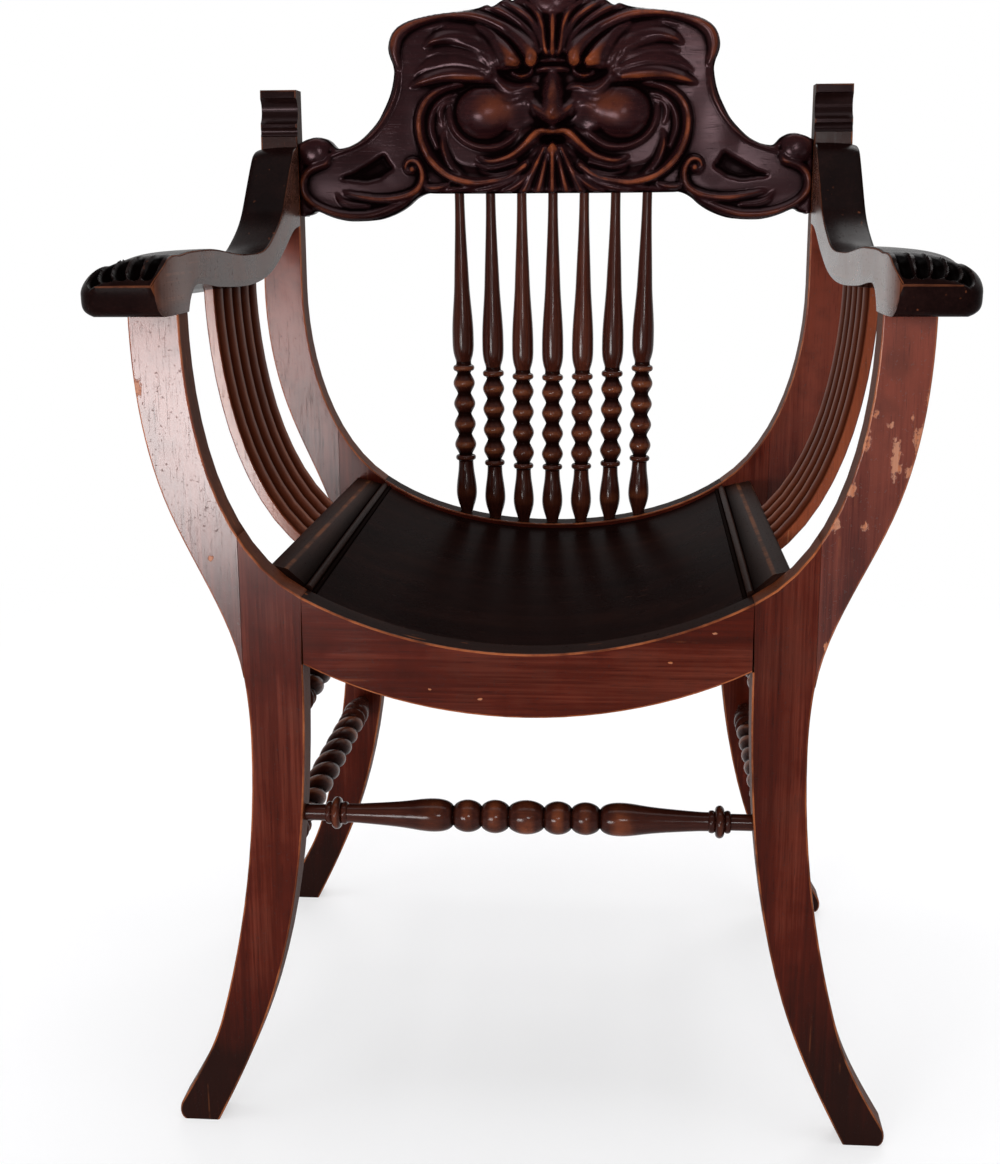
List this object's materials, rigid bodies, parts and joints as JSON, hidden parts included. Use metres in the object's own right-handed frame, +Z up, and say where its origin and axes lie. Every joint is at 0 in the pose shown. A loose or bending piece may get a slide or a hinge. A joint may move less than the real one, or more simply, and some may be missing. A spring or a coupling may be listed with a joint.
{
  "type": "carved armchair",
  "caption": "Low-backed carved wooden armchair with U-shaped sabre-leg frames, dished seat, reeded side slats, scrolled arms, twist-turned stretchers and a carved crest over turned spindles.",
  "frame": {"origin": "on the floor, at the middle of the chair's width and depth", "axes": "+X to the right as seen from the front, +Y from the front to the back, +Z up"},
  "size_m": [0.623, 0.498, 0.9215],
  "materials": {
    "mahogany_frame": "polished red-brown mahogany, worn at the edges",
    "dark_mahogany": "dark varnished mahogany",
    "seat_brown": "very dark polished wood",
    "hidden_wood": "plain unpolished wood"
  },
  "bodies": {
    "root": {"front_leg_left": "mahogany_frame", "rear_leg_left": "mahogany_frame", "front_upright_left": "mahogany_frame", "rear_post_left": "mahogany_frame", "front_leg_right": "mahogany_frame", "rear_leg_right": "mahogany_frame", "front_upright_right": "mahogany_frame", "rear_post_right": "mahogany_frame", "front_rail": "mahogany_frame", "rear_rail": "mahogany_frame", "front_rail_dowel_left_lower": "hidden_wood", "front_rail_dowel_left_upper": "hidden_wood", "front_rail_dowel_right_lower": "hidden_wood", "front_rail_dowel_right_upper": "hidden_wood", "rear_rail_dowel_left_lower": "hidden_wood", "rear_rail_dowel_left_upper": "hidden_wood", "rear_rail_dowel_right_lower": "hidden_wood", "rear_rail_dowel_right_upper": "hidden_wood", "front_stretcher": "dark_mahogany", "rear_stretcher": "dark_mahogany", "lower_side_stretcher_left": "dark_mahogany", "upper_side_stretcher_left": "dark_mahogany", "lower_side_stretcher_right": "dark_mahogany", "upper_side_stretcher_right": "dark_mahogany", "seat_panel": "seat_brown", "seat_ledger_front": "hidden_wood", "seat_ledger_rear": "hidden_wood", "seat_side_rail_left": "mahogany_frame", "seat_side_rail_dowel_left_front": "hidden_wood", "seat_side_rail_dowel_left_rear": "hidden_wood", "side_slat_left": "mahogany_frame", "arm_left": "mahogany_frame", "arm_dowel_left_front": "hidden_wood", "arm_dowel_left_rear": "hidden_wood", "seat_side_rail_right": "mahogany_frame", "seat_side_rail_dowel_right_front": "hidden_wood", "seat_side_rail_dowel_right_rear": "hidden_wood", "side_slat_right": "mahogany_frame", "arm_right": "mahogany_frame", "arm_dowel_right_front": "hidden_wood", "arm_dowel_right_rear": "hidden_wood", "crest_rail": "dark_mahogany", "crest_dowel_left_lower": "hidden_wood", "crest_dowel_left_upper": "hidden_wood", "crest_dowel_right_lower": "hidden_wood", "crest_dowel_right_upper": "hidden_wood", "spindle_1": "dark_mahogany", "spindle_2": "dark_mahogany", "spindle_3": "dark_mahogany", "spindle_4": "dark_mahogany", "spindle_5": "dark_mahogany", "spindle_6": "dark_mahogany", "spindle_7": "dark_mahogany"}
  },
  "joints": []
}
